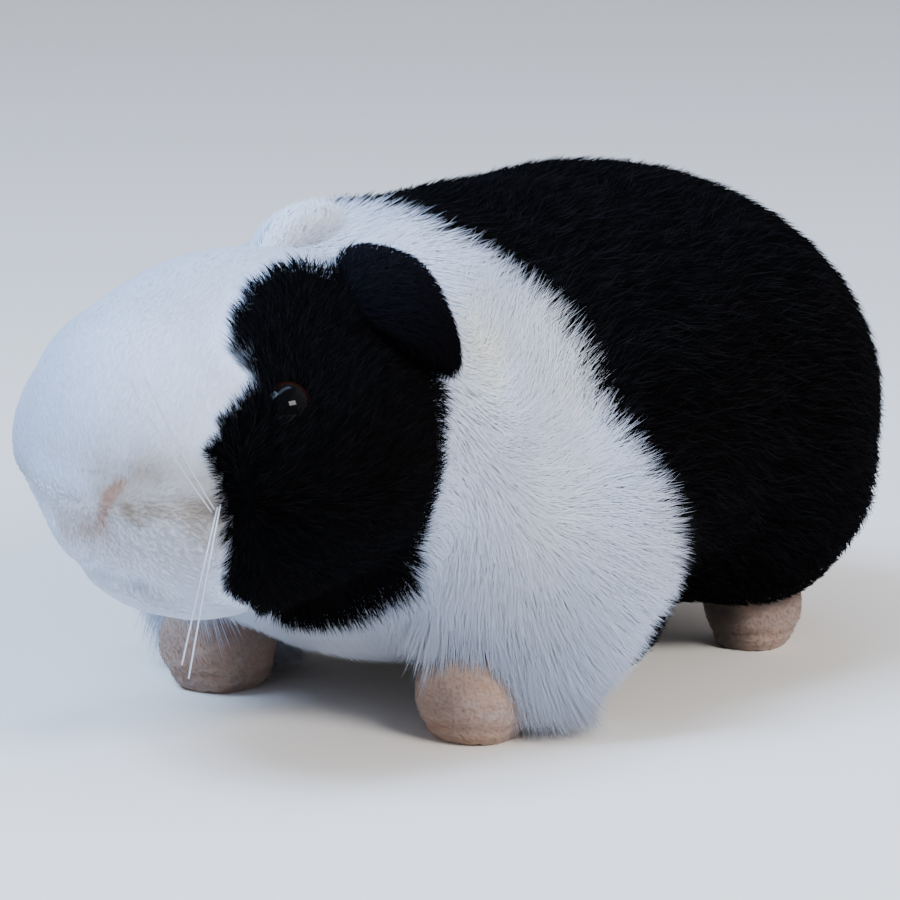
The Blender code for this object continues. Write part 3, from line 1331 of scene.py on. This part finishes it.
@dataclass
class BodyCoat(Coat):
    """The pile over head, shoulders and rump."""

    markings: Markings = field(default_factory=Markings)
    face_white: Fur = Fur(2.4e6, 3.2, 0.24, 11, 0.08, 0.0)
    face_black: Fur = Fur(4.0e6, 5.2, 0.18, 44, 0.28, 0.22)
    body_white: Fur = Fur(3.6e6, 12.5, 0.25, 23, 0.26, 0.03)
    body_black: Fur = Fur(1.5e6, 8.5, 0.34, 62, 0.34, 0.40)
    # Ramps in millimetres, each from where a share is 0 to where it is 1.
    neck: tuple = (-64, -46)               # along, from the face's pile to the body's
    muzzle: tuple = (-108, -126)           # along
    collar: tuple = (-5, -1)               # from the patch's edge, below 0 outside it
    throat: tuple = (42, 22)               # height
    border: tuple = (9, 0)                 # from the saddle's edge
    tuck: tuple = (33, 22)                 # from the left ear's middle
    tuft: tuple = (27, 18)                 # from the right ear's middle
    corner: tuple = ((60, 46), (-84, -94))                 # height, and along
    hem: tuple = ((60, 30), (-25, 5))                      # height, and along
    rim: tuple = ((54, 46), (-102, -90))                   # height, and along
    breast: tuple = ((38, 22), (-18, -34), (38, 30))       # height, along, and from the middle
    apron: tuple = ((45, 32), (26, 14), (-9, 1))           # height, from the leg, and outwards from it
    # How the face's pile lies.
    source: tuple = (6.0, -146.0, 63.0)    # it runs away from here, millimetres
    parting: tuple = (60, 80)              # it turns down below these heights and up above them
    parting_reach: tuple = (-60, -90)      # this far along
    parting_turn: float = 0.7              # and by this much
    flare: float = 2.6                     # how strongly the patch's edge is turned out over the white
    flare_reach: tuple = ((7, 1), (-3, 0)) # how it fades out inside the edge and outside it
    flare_low: tuple = (50, 44)            # the heights at which it ends under the cheek
    flare_loss: float = 0.85               # and how much of it is lost there
    # How the body's pile lies: back, and down more at the front, low down and over the rump.
    low: tuple = (70, 30)                  # height
    front: tuple = (0, -40)                # along
    rear: tuple = (60, 118)                # along
    sag: float = 0.30                      # down, all over
    sags: tuple = (1.1, 0.9, 0.5)          # more at the front low down, at the front, at the rear
    splay: float = 0.2                     # outwards, low down
    drift: float = 0.8                     # how much less it lies back at the front low down
    fan: tuple = (55.0, -52.0, 57.0)       # the elbow's pile fans out from here, millimetres
    fan_reach: tuple = (78, 40)            # from there
    fan_along: tuple = (-46, -24)
    fan_out: tuple = (12, 32)              # from the middle
    wander: tuple = (0.06, 0.20)           # how far the lie wanders, on the face and on the body
    wander_size: float = 13 * MM
    # How the pile hangs, against its length.
    free: tuple = (0.45, -0.35)            # it comes to hang free as the cloth's normal turns down
    hang: float = 0.20
    chest_hang: float = 0.6                # how much more it hangs on the chest
    rim_hang: float = 0.38
    skirt_out: float = 0.50                # how far the pile above a front leg stands off it
    skirt_down: float = 0.85               # and how far it hangs
    # No pile grows this near an eye's middle, in millimetres.
    eye_clear: ClassVar[dict[Side, float]] = {Side.LEFT: 5.0, Side.RIGHT: 4.0}

    def bodiness(self, points: Array) -> Array:
        """0 on the face, 1 on the body, between them at the neck."""
        return smooth(*self.neck, points[:, 1] / MM)

    def zones(self, points: Array) -> dict[Zone, Array]:
        """Each zone's share at each point.

        Args:
            points: places in metres.

        Returns:
            Shares from 0 to 1, by zone.
        """
        black, body = self.markings.black(points), self.bodiness(points)
        white, face = 1 - black, 1 - body
        y, z = (points[:, 1:] / MM).T
        border = smooth(*self.border, np.abs(self.markings.saddle(points))) * body
        return {
            Zone.MUZZLE: smooth(*self.muzzle, y),
            Zone.COLLAR: smooth(*self.collar, self.markings.patch(points)) * white * face,
            Zone.THROAT: smooth(*self.throat, z) * black * body,
            Zone.CORNER: smooth(*self.corner[0], z) * smooth(*self.corner[1], y) * black,
            Zone.RIM: self.cheek_rim(points),
            Zone.TUCK: self.around("ear_left", self.tuck, points) * black * face,
            Zone.TUFT: self.around("ear_right", self.tuft, points) * white * face,
            Zone.APRON: self.above_leg(points),
            Zone.CHEST: self.chest(points),
            Zone.HEM: smooth(*self.hem[0], z) * smooth(*self.hem[1], y) * white,
            Zone.BORDER: border,
            Zone.FRINGE: border * white,
            Zone.BRINK: border * black,
        }

    def fur(self, points: Array) -> Fur:
        """The pile at each point, by colour, by part and by zone.

        Args:
            points: places in metres.

        Returns:
            The pile.
        """
        black = self.markings.black(points)
        face = self.face_white.mixed(self.face_black, black)
        body = self.body_white.mixed(self.body_black, black)
        found = face.mixed(body, self.bodiness(points))
        length, width, lock = found.length, found.width, found.lock
        lift, raised = 1.0, 0.0
        for zone, share in self.zones(points).items():
            cut = CUTS[zone]
            length = length * (1 + cut.length * share)
            width = width * (1 + cut.width * share)
            lock = lock * (1 + cut.lock * share)
            lift = lift + cut.lift * share
            raised = raised + cut.raised * share
        return replace(found, length=length, lift=found.lift * lift + raised, width=width, lock=lock)

    def around(self, node: str, reach: tuple, points: Array) -> Array:
        """1 near a solid's middle, fading out over a reach in millimetres."""
        return smooth(*reach, np.linalg.norm(points - np.array(middle_of(node)), axis=1) / MM)

    def chest(self, points: Array) -> Array:
        """1 under the breast and between the front legs."""
        ramps = zip(self.breast, (points[:, 2], points[:, 1], np.abs(points[:, 0])))
        return np.prod([smooth(*ramp, value / MM) for ramp, value in ramps], axis=0)

    def cheek_rim(self, points: Array) -> Array:
        """1 on the black cheek's lower edge."""
        rim = smooth(*self.rim[0], points[:, 2] / MM) * smooth(*self.rim[1], points[:, 1] / MM)
        return rim * self.markings.black(points) * (1 - self.bodiness(points))

    def above_leg(self, points: Array) -> Array:
        """1 just above the front legs, fading out over a leg's width.

        Args:
            points: places in metres.

        Returns:
            A share for each point.
        """
        leg = middle_of("front_leg_left") / MM
        x, y, z = (points / MM).T
        high, beside, out = self.apron
        near = smooth(*beside, np.hypot(np.abs(x) - leg.x, y - leg.y)) * smooth(*high, z)
        return near * smooth(leg.x + out[0], leg.x + out[1], np.abs(x))

    def face_lie(self, roots: Array) -> Array:
        """How the face's pile lies: away from the nose, and out over the patch's edge.

        Args:
            roots: places in metres.

        Returns:
            Ways of any length.
        """
        points = roots / MM
        way = unit(points - np.array(self.source))
        height = points[:, 2]
        turn = (smooth(*self.parting, height) * 2 - 1) * smooth(*self.parting_reach, points[:, 1])
        way[:, 2] += self.parting_turn * turn
        edge = self.markings.patch(roots)
        inside, outside = self.flare_reach
        share = smooth(*inside, edge) * smooth(*outside, edge)
        share *= 1 - self.flare_loss * smooth(*self.flare_low, height)
        outward = -self.slope(self.markings.patch, roots)
        return unit(way) + outward * (self.flare * share)[:, None]

    def body_lie(self, roots: Array) -> Array:
        """How the body's pile lies: back and down, and fanned out round the elbows.

        Args:
            roots: places in metres.

        Returns:
            Ways of any length.
        """
        points = roots / MM
        x, y, z = points.T
        side, even = np.sign(x), np.ones(len(x))
        low, front = smooth(*self.low, z), smooth(*self.front, y)
        more = self.sags
        sag = self.sag + more[0] * low * front + more[1] * front + more[2] * smooth(*self.rear, y)
        way = np.stack([self.splay * side * low, 1.0 - self.drift * front * low, -sag], axis=1)
        spread = points - np.array(self.fan) * np.stack([side, even, even], axis=1)
        pull = smooth(*self.fan_reach, np.linalg.norm(spread, axis=1))
        pull *= smooth(*self.fan_along, y) * smooth(*self.fan_out, np.abs(x))
        return mix(unit(way), unit(spread), pull[:, None])

    def flow(self, roots: Array, normals: Array) -> Array:
        """The way the pile lies at each root.

        Args:
            roots: places in metres.
            normals: the cloth's normals there.

        Returns:
            Unit vectors in the cloth's own plane.
        """
        body = self.bodiness(roots)
        way = mix(unit(self.face_lie(roots)), unit(self.body_lie(roots)), body[:, None])
        stray = np.stack([waves(roots, self.wander_size, seed) for seed in LIE_SEEDS], axis=1)
        return laid(unit(way) + stray * mix(*self.wander, body)[:, None], normals)

    def slope(self, edge: Callable[[Array], Array], roots: Array, step: float = 1.0 * MM) -> Array:
        """The way in which an edge distance grows.

        Args:
            edge: the distance inside an edge, over places in metres.
            roots: where to ask.
            step: how far apart it is sampled.

        Returns:
            Unit vectors.
        """
        shifts = np.eye(3) * step
        return unit(np.stack([edge(roots + shift) - edge(roots - shift) for shift in shifts], axis=1))

    def marks(self, roots: Array) -> dict[Mark, Array]:
        """Every marking's share at each root."""
        return self.markings.amounts(roots)

    def plan(self) -> Tufts:
        """Sizes every tuft, and lets those under the body hang.

        Returns:
            All tufts of the coat.
        """
        tufts = super().plan()
        roots = tufts.roots
        free = smooth(*self.free, tufts.normals[:, 2]) * self.bodiness(roots)
        free *= (1 - self.markings.black(roots)) * (1 + self.chest_hang * self.chest(roots))
        tufts.pulls[:, 2] -= tufts.lengths * (free * self.hang + self.rim_hang * self.cheek_rim(roots))
        leg = middle_of("front_leg_left")
        away = np.zeros_like(roots)
        away[:, 0] = roots[:, 0] - leg.x * np.sign(roots[:, 0])
        away[:, 1] = roots[:, 1] - leg.y
        skirt = unit(away) * self.skirt_out + np.array([0.0, 0.0, -self.skirt_down])
        tufts.pulls += skirt * (tufts.lengths * self.above_leg(roots))[:, None]
        return tufts

    def bare(self, roots: Array) -> Array:
        """True under the eyes.

        Args:
            roots: places in metres.

        Returns:
            One truth for each root.
        """
        hidden = np.zeros(len(roots), dtype=bool)
        for side in Side:
            eye = np.array(middle_of("eye_" + side.word))
            hidden |= np.linalg.norm(roots - eye, axis=1) < self.eye_clear[side] * MM
        return hidden


@dataclass
class EarCoat(Coat):
    """The short velvety pile over one ear."""

    side: Side = Side.LEFT
    velvet: Fur = Fur(4e6, 4.4, 0.24, 44, 0.35, 0.30)      # on the black ear
    fringe: Fur = Fur(6e6, 6.0, 0.20, 34, 0.35, 0.20)      # along its lower edge
    down: Fur = Fur(4e6, 5.0, 0.24, 50, 0.45, 0.10)        # on the white ear
    fringe_reach: tuple = (0.50, 0.12)     # against the flap's height
    fringe_lie: tuple = (-0.1, -0.4, -1.0)
    source: tuple = (-6.0, -30.0, 3.0)     # the pile runs away from here, off the left flap's middle
    down_rise: float = 1.3                 # how far the white ear's down is brushed up
    rim_light: float = 0.65                # painted light and shade: how much of a tuft's lightness comes from its height

    def fur(self, points: Array) -> Fur:
        """Velvet on the black ear, long along its lower edge, and softer down on the white one."""
        return self.velvet.mixed(self.fringe, self.low(points)) if self.side is Side.LEFT else self.down

    def low(self, points: Array) -> Array:
        """1 along the flap's lower edge, 0 over its upper half."""
        height = points_of(self.cloth.data)[:, 2]
        return smooth(*self.fringe_reach, (points[:, 2] - height.min()) / (height.max() - height.min()))

    def flow(self, roots: Array, normals: Array) -> Array:
        """The pile runs from the ear's root, which is towards the nose, to its rim.

        Args:
            roots: places in metres.
            normals: the flap's normals there.

        Returns:
            Unit vectors in the cloth's own plane.
        """
        source = np.array(self.source) * [self.side.value, 1, 1] * MM
        way = unit(roots - points_of(self.cloth.data).mean(axis=0) - source)
        if self.side is Side.LEFT:
            return laid(mix(way, np.array(self.fringe_lie), self.low(roots)[:, None]), normals)
        return laid(way + np.array([0.0, 0.0, self.down_rise]), normals)

    def shades(self, roots: Array) -> Array:
        """Painted light and shade: lighter towards the ear's upper rim, darker in the shade low down."""
        low, high = roots[:, 2].min(), roots[:, 2].max()
        return mix(super().shades(roots), (roots[:, 2] - low) / (high - low), self.rim_light)

    def marks(self, roots: Array) -> dict[Mark, Array]:
        """The left ear is black, the right one white."""
        return plain_marks(len(roots), self.side is Side.LEFT)


@dataclass
class PawCoat(Coat):
    """The very short nap of one paw."""

    nap: Fur = Fur(1.0, 1.3, 0.20, 26, 0.4, 0.1)
    brushed: float = 0.8                   # how far the nap is brushed down
    sole: float = 1.2 * MM                 # no nap grows below this height

    def fur(self, points: Array) -> Fur:
        """The same nap all over."""
        return self.nap

    def flow(self, roots: Array, normals: Array) -> Array:
        """The nap is brushed round the stub and down."""
        down = np.full(len(normals), -self.brushed)
        return laid(np.stack([-normals[:, 1], normals[:, 0], down], axis=1), normals)

    def marks(self, roots: Array) -> dict[Mark, Array]:
        """Paws carry no markings."""
        return {}

    def others(self, roots: Array) -> dict[str, Array]:
        """The painted shadow and dust that darken the hind stubs upwards."""
        return {"dusk": Paw.dusk(self.cloth.name, roots)}

    def slot(self, marks: dict[Mark, Array]) -> str:
        """The name of the velour's slot."""
        return "peach_velour"

    def bare(self, roots: Array) -> Array:
        """True on the sole."""
        return roots[:, 2] < self.sole


# --------------------------------------------------------- ears, paws and eyes


@dataclass(frozen=True)
class Tuck:
    """How a flap is drawn from its solid."""

    pull: float            # how far its outer end is drawn in, against its distance from the middle
    puff: float = 0.0      # how far it is puffed up
    shift: float = 0.0     # how far it is moved in


@dataclass
class Ear:
    """One plush flap, folded over at its root."""

    side: Side
    outer: tuple = (0.79, 0.62, 0.0)       # towards the left flap's outer end
    drop: float = 0.6                      # how far a flap is lowered, against its shift
    rise: float = 0.5                      # the cloth's own place in the pile, for its colour and its painted root shade
    tucks: ClassVar[dict[Side, Tuck]] = {Side.LEFT: Tuck(0.24), Side.RIGHT: Tuck(0.35, 2.2 * MM, 2.4 * MM)}

    def make(self, finish: bpy.types.Material) -> bpy.types.Object:
        """Builds the flap.

        Args:
            finish: the ear's plush.

        Returns:
            The finished piece.
        """
        node = "ear_" + self.side.word
        piece = rounded_copy(node, "_flap", 1, finish)
        places = points_of(piece.data)
        outer = np.array(self.outer) * self.side.value
        past = np.maximum((places - places.mean(axis=0)) @ outer, 0.0)
        tuck = self.tucks[self.side]
        places += normals_of(piece.data) * tuck.puff - outer * (past * tuck.pull + tuck.shift)[:, None]
        places[:, 2] -= tuck.shift * self.drop
        move_points(piece.data, places)
        write_pile(piece.data, plain_marks(len(places), self.side is Side.LEFT), self.rise)
        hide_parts(node)
        return piece


@dataclass
class Paw:
    """A stuffed velour stub with a sewn sole."""

    node: str
    seam_height: float = 4.5 * MM
    seam_wave: float = 0.6 * MM            # how far the seam goes up and down
    seam_pitch: float = 300.0              # radians of that wave to a metre
    seam_width: float = 0.7 * MM
    seam_depth: float = 0.7 * MM
    seam_tint: float = 0.7                 # how strongly the seam is coloured
    lump_size: float = 7 * MM
    lump_depth: float = 0.35 * MM
    sole_edge: float = 3 * MM              # the sole stays flat, and lumps and seam come in up to here
    taper: float = 0.28                    # how much narrower a front stub is where it enters the body
    taper_reach: tuple = (12 * MM, 26 * MM)
    slim: float = 0.86                     # how wide a hind stub is, against its solid
    hind_shift: float = 1.5 * MM           # and how far out it is moved
    # Painted shadow under the body's overhanging pile, with some dust: it darkens a stub upwards and
    # inwards.
    dusk_height: tuple = (2 * MM, 22 * MM)
    dusk_inward: tuple = (-3 * MM, 7 * MM)
    dusk_way: tuple = (0.8, 0.6)           # inward is this much to the middle and this much to the front
    front_dusk: float = 0.15               # what a front stub gets of it

    @classmethod
    def dusk(cls, name: str, points: Array) -> Array:
        """Painted shadow under the overhanging pile, with some of its dark dust: upwards and inwards, and
        hardly on the front stubs.

        Args:
            name: the paw's name, or its solid's.
            points: places in metres.

        Returns:
            A share for each point.
        """
        leg = middle_of(name.removesuffix("_paw"))
        across, along = cls.dusk_way
        inward = (abs(leg.x) - np.abs(points[:, 0])) * across + (leg.y - points[:, 1]) * along
        shaded_and_dusty = np.maximum(smooth(*cls.dusk_height, points[:, 2]), smooth(*cls.dusk_inward, inward))
        return shaded_and_dusty if name.startswith("hind") else shaded_and_dusty * cls.front_dusk

    def make(self, finish: bpy.types.Material) -> bpy.types.Object:
        """Builds the stub.

        Args:
            finish: the velour.

        Returns:
            The finished piece.
        """
        piece = rounded_copy(self.node, "_paw", 2, finish)
        places, normals = points_of(piece.data), normals_of(piece.data)
        middle = np.array(middle_of(self.node))
        width = 1 - self.taper * smooth(*self.taper_reach, places[:, 2])
        if self.node.startswith("hind"):
            width = np.full_like(width, self.slim)
            middle[0] += np.sign(middle[0]) * self.hind_shift
        places[:, :2] = middle[:2] + (places[:, :2] - middle[:2]) * width[:, None]
        height = self.seam_height + self.seam_wave * np.sin((places[:, 0] - middle[0]) * self.seam_pitch)
        groove = swell(places[:, 2] - height, self.seam_width)
        lumps = waves(places, self.lump_size, LUMP_SEED) * self.lump_depth
        above = smooth(0.0, self.sole_edge, places[:, 2])
        places += normals * ((lumps - groove * self.seam_depth) * above)[:, None]
        move_points(piece.data, places)
        write_values(piece.data, "seam", groove * self.seam_tint)
        write_values(piece.data, "dusk", self.dusk(self.node, places))
        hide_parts(self.node)
        return piece


@dataclass
class Eye:
    """A round plastic safety eye."""

    side: Side
    rings: int = 20
    sink: float = 1.2 * MM                 # the right dome sits deeper in the pile
    gaze: tuple = (1.0, -0.5, 0.3)         # roughly outwards from the left side of the head

    def make(self, finish: bpy.types.Material) -> bpy.types.Object:
        """Builds the dome on its solid's own place, flat along the solid's short axis.

        Args:
            finish: the eye's plastic.

        Returns:
            The finished piece.
        """
        node = "eye_" + self.side.word
        middle = middle_of(node)
        solid = merged_copy(node)
        arms = sorted((vert.co - middle for vert in solid.verts), key=lambda arm: arm.length)
        solid.free()
        height, radius, axis = arms[0].length, arms[-1].length, arms[0].normalized()
        across, along, rise = self.gaze
        if axis.dot(Vector((across * self.side.value, along, rise))) < 0:
            axis = -axis
        if self.side is Side.RIGHT:
            middle -= axis * self.sink
        form = bmesh.new()
        bmesh.ops.create_uvsphere(form, u_segments=2 * self.rings, v_segments=self.rings, radius=1.0)
        reaches = [math.hypot(vert.co.x, vert.co.y) for vert in form.verts]
        bmesh.ops.scale(form, vec=(radius, radius, height), verts=form.verts)
        turn = frame_of(Vector((0, 0, 1)), axis)
        bmesh.ops.transform(form, matrix=Matrix.Translation(middle) @ turn, verts=form.verts)
        bmesh.ops.recalc_face_normals(form, faces=form.faces)
        piece = make_piece(node + "_dome", form, finish)
        write_values(piece.data, "reach", np.array(reaches))
        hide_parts(node)
        return piece


@dataclass
class Whiskers:
    """Four clear bristles from one root on each cheek; places are on the left one, in millimetres."""

    root: tuple = (33.3, -118.9, 69.1)
    tips: tuple = ((21.0, -133.0, 98.5), (24.0, -131.5, 99.5), (35.0, -133.0, 36.5), (36.5, -132.5, 33.5))
    apart: tuple = (0.5, 0.4, 0.6)         # from one bristle's root to the next one's
    radius: float = 0.20 * MM
    bow: tuple = (2.4, -3.2, 0.0)          # how far a bristle's middle is bowed out
    steps: int = 14
    corners: int = 6

    def ring(self, form: bmesh.types.BMesh, centre: Vector, turn: Matrix, ends: bool) -> set:
        """Adds one ring of a bristle.

        Args:
            form: what it is added to.
            centre: the ring's middle.
            turn: a rotation that stands it across the bristle.
            ends: whether the bristle ends here and is closed.

        Returns:
            The ring's edges.
        """
        made = bmesh.ops.create_circle(form, cap_ends=ends, segments=self.corners, radius=self.radius)
        bmesh.ops.transform(form, matrix=Matrix.Translation(centre) @ turn, verts=made["verts"])
        return {edge for vert in made["verts"] for edge in vert.link_edges}

    def make(self, side: Side, finish: bpy.types.Material) -> bpy.types.Object:
        """Builds one cheek's bristles as joined tubes.

        Args:
            side: the cheek.
            finish: the nylon.

        Returns:
            The finished piece.
        """
        form = bmesh.new()
        for order, tip in enumerate(self.tips):
            start, end = Vector(self.root) * MM, Vector(tip) * MM
            start += Vector(self.apart) * MM * (order - (len(self.tips) - 1) / 2)
            turn = (end - start).to_track_quat("Z", "Y").to_matrix().to_4x4()
            before = None
            for step in range(self.steps + 1):
                share = step / self.steps
                centre = start.lerp(end, share) + Vector(self.bow) * MM * math.sin(math.pi * share)
                edges = self.ring(form, centre, turn, step in (0, self.steps))
                if before:
                    bmesh.ops.bridge_loops(form, edges=list(before | edges))
                before = edges
        if side is Side.RIGHT:
            bmesh.ops.scale(form, vec=(-1, 1, 1), verts=form.verts)
        bmesh.ops.recalc_face_normals(form, faces=form.faces)
        return make_piece("whiskers_" + side.word, form, finish)


# --------------------------------------------------------------------- studio


@dataclass(frozen=True)
class Light:
    """A soft light that looks at the toy. Its place is in metres."""

    name: str
    place: tuple[float, float, float]      # on the toy's own axes
    size: tuple[float, float]              # width and height
    power: float                           # watts
    tint: Colour
    right: float = 0.0                     # further to the camera's right
    back: float = 0.0                      # and further towards the camera, level with the floor


@dataclass
class Studio:
    """The floor, the soft lights and the camera."""

    target: tuple = (0.0, -3.55, 70.0)     # millimetres
    azimuth: float = 38.14
    elevation: float = 11.19
    distance: float = 1.2
    lens: float = 197.0
    sensor: float = 36.0
    far: float = 20.0                      # nothing past this is drawn, metres
    aim_right: float = 7.46 * MM
    aim_down: float = 10.55 * MM
    lights: tuple = (
        Light("key", (0.0, 0.0, 1.55), (0.8, 0.8), 54.0, (0.46, 0.67, 1.0), right=-0.85, back=0.5),
        Light("sky", (0.1, 0.0, 1.6), (1.3, 0.3), 9.0, (0.50, 0.66, 1.0)),
        Light("fill", (0.0, 0.0, 0.9), (2.2, 2.2), 6.0, (1.0, 0.95, 0.90), right=1.6, back=0.2),
        Light("window", (1.027, -0.247, 0.767), (0.50, 0.29), 15.0, (1.0, 0.97, 0.94)),
    )
    lit: tuple = (0.0, 0.0, 0.06)          # where every light looks, metres
    world_tint: Colour = (0.94, 0.93, 0.98)
    world_power: float = 0.45
    floor_reach: float = 8.0

    def axes(self) -> tuple[Vector, Vector, Vector]:
        """The camera's axes.

        Returns:
            Its right, up and back directions.
        """
        turn, tilt = math.radians(self.azimuth), math.radians(self.elevation)
        back = Vector((math.sin(turn) * math.cos(tilt), -math.cos(turn) * math.cos(tilt), math.sin(tilt)))
        right = Vector((math.cos(turn), math.sin(turn), 0.0))
        return right, back.cross(right), back

    def aimed(self, name: str, data: bpy.types.ID, place: Vector, mark: Vector) -> bpy.types.Object:
        """Stands a camera or a light at a place, looking at a mark.

        Args:
            name: its name.
            data: its camera or light data.
            place: where it stands.
            mark: where it looks.

        Returns:
            The new object.
        """
        found = bpy.data.objects.new(name, data)
        found.location = place
        found.rotation_euler = (mark - place).to_track_quat("-Z", "Y").to_euler()
        bpy.context.scene.collection.objects.link(found)
        return found

    def camera(self) -> None:
        """Places the camera."""
        right, rise, back = self.axes()
        middle = Vector(self.target) * MM
        data = bpy.data.cameras.new("camera")
        data.lens = self.lens
        data.sensor_width = self.sensor
        data.clip_end = self.far
        mark = middle + right * self.aim_right - rise * self.aim_down
        bpy.context.scene.camera = self.aimed("camera", data, middle + back * self.distance, mark)

    def area(self, light: Light) -> None:
        """Places one light.

        Args:
            light: the light.
        """
        data = bpy.data.lights.new(light.name, "AREA")
        data.shape = "RECTANGLE"
        data.size, data.size_y = light.size
        data.energy = light.power
        data.color = light.tint
        right, _, back = self.axes()
        level = Vector((back.x, back.y, 0)).normalized()
        place = level * light.back + right * light.right + Vector(light.place)
        self.aimed(light.name, data, place, Vector(self.lit))

    def make(self, finish: bpy.types.Material) -> None:
        """Sets up the whole studio.

        Args:
            finish: the floor's material.
        """
        self.camera()
        for light in self.lights:
            self.area(light)
        world = bpy.data.worlds.new("studio")
        world.use_nodes = True
        sky = world.node_tree.nodes["Background"]
        sky.inputs["Color"].default_value = (*self.world_tint, 1.0)
        sky.inputs["Strength"].default_value = self.world_power
        bpy.context.scene.world = world
        form = bmesh.new()
        bmesh.ops.create_grid(form, x_segments=1, y_segments=1, size=self.floor_reach)
        mesh = bpy.data.meshes.new("floor")
        form.to_mesh(mesh)
        form.free()
        mesh.materials.append(finish)
        floor = bpy.data.objects.new("floor", mesh)
        bpy.context.scene.collection.objects.link(floor)


def report(*pieces: bpy.types.Object) -> None:
    """Logs each finished piece."""
    for piece in pieces:
        LOG.info("%s: %d points", piece.name, len(piece.data.vertices))


def main() -> None:
    """Builds the toy and its studio."""
    logging.basicConfig(level=logging.INFO, format="%(message)s")
    markings = Markings()
    plush = PlushFinish("plush").make()
    # The ears' plush: a lighter white, painted light on the white ear, and a bluish black tip, painted sheen
    # on the black one.
    velvet = PlushFinish(
        "ear_plush", white=(0.78, 0.86, 1.0), black=(0.0016, 0.0016, 0.0024), black_tip=(0.013, 0.013, 0.021)
    ).make()
    velour = VelourFinish().make()
    skin = Skin(markings).make(plush)
    report(skin, *BodyCoat(skin, "coat", BODY_TUFTS, BODY_SEED, markings=markings).make(plush))
    for side in Side:
        flap = Ear(side).make(velvet)
        pile = EarCoat(flap, f"ear_{side.word}_pile", EAR_TUFTS, EAR_SEED + side.value, side=side)
        report(flap, *pile.make(velvet))
        for end in ("front", "hind"):
            paw = Paw(f"{end}_leg_{side.word}").make(velour)
            report(paw, *PawCoat(paw, paw.name + "_nap", PAW_TUFTS, PAW_SEED + side.value).make(velour))
    plastic = EyeFinish().make()
    nylon = BristleFinish().make()
    for side in Side:
        report(Eye(side).make(plastic), Whiskers().make(side, nylon))
    Studio().make(FloorFinish().make())


if __name__ == "__main__":
    main()
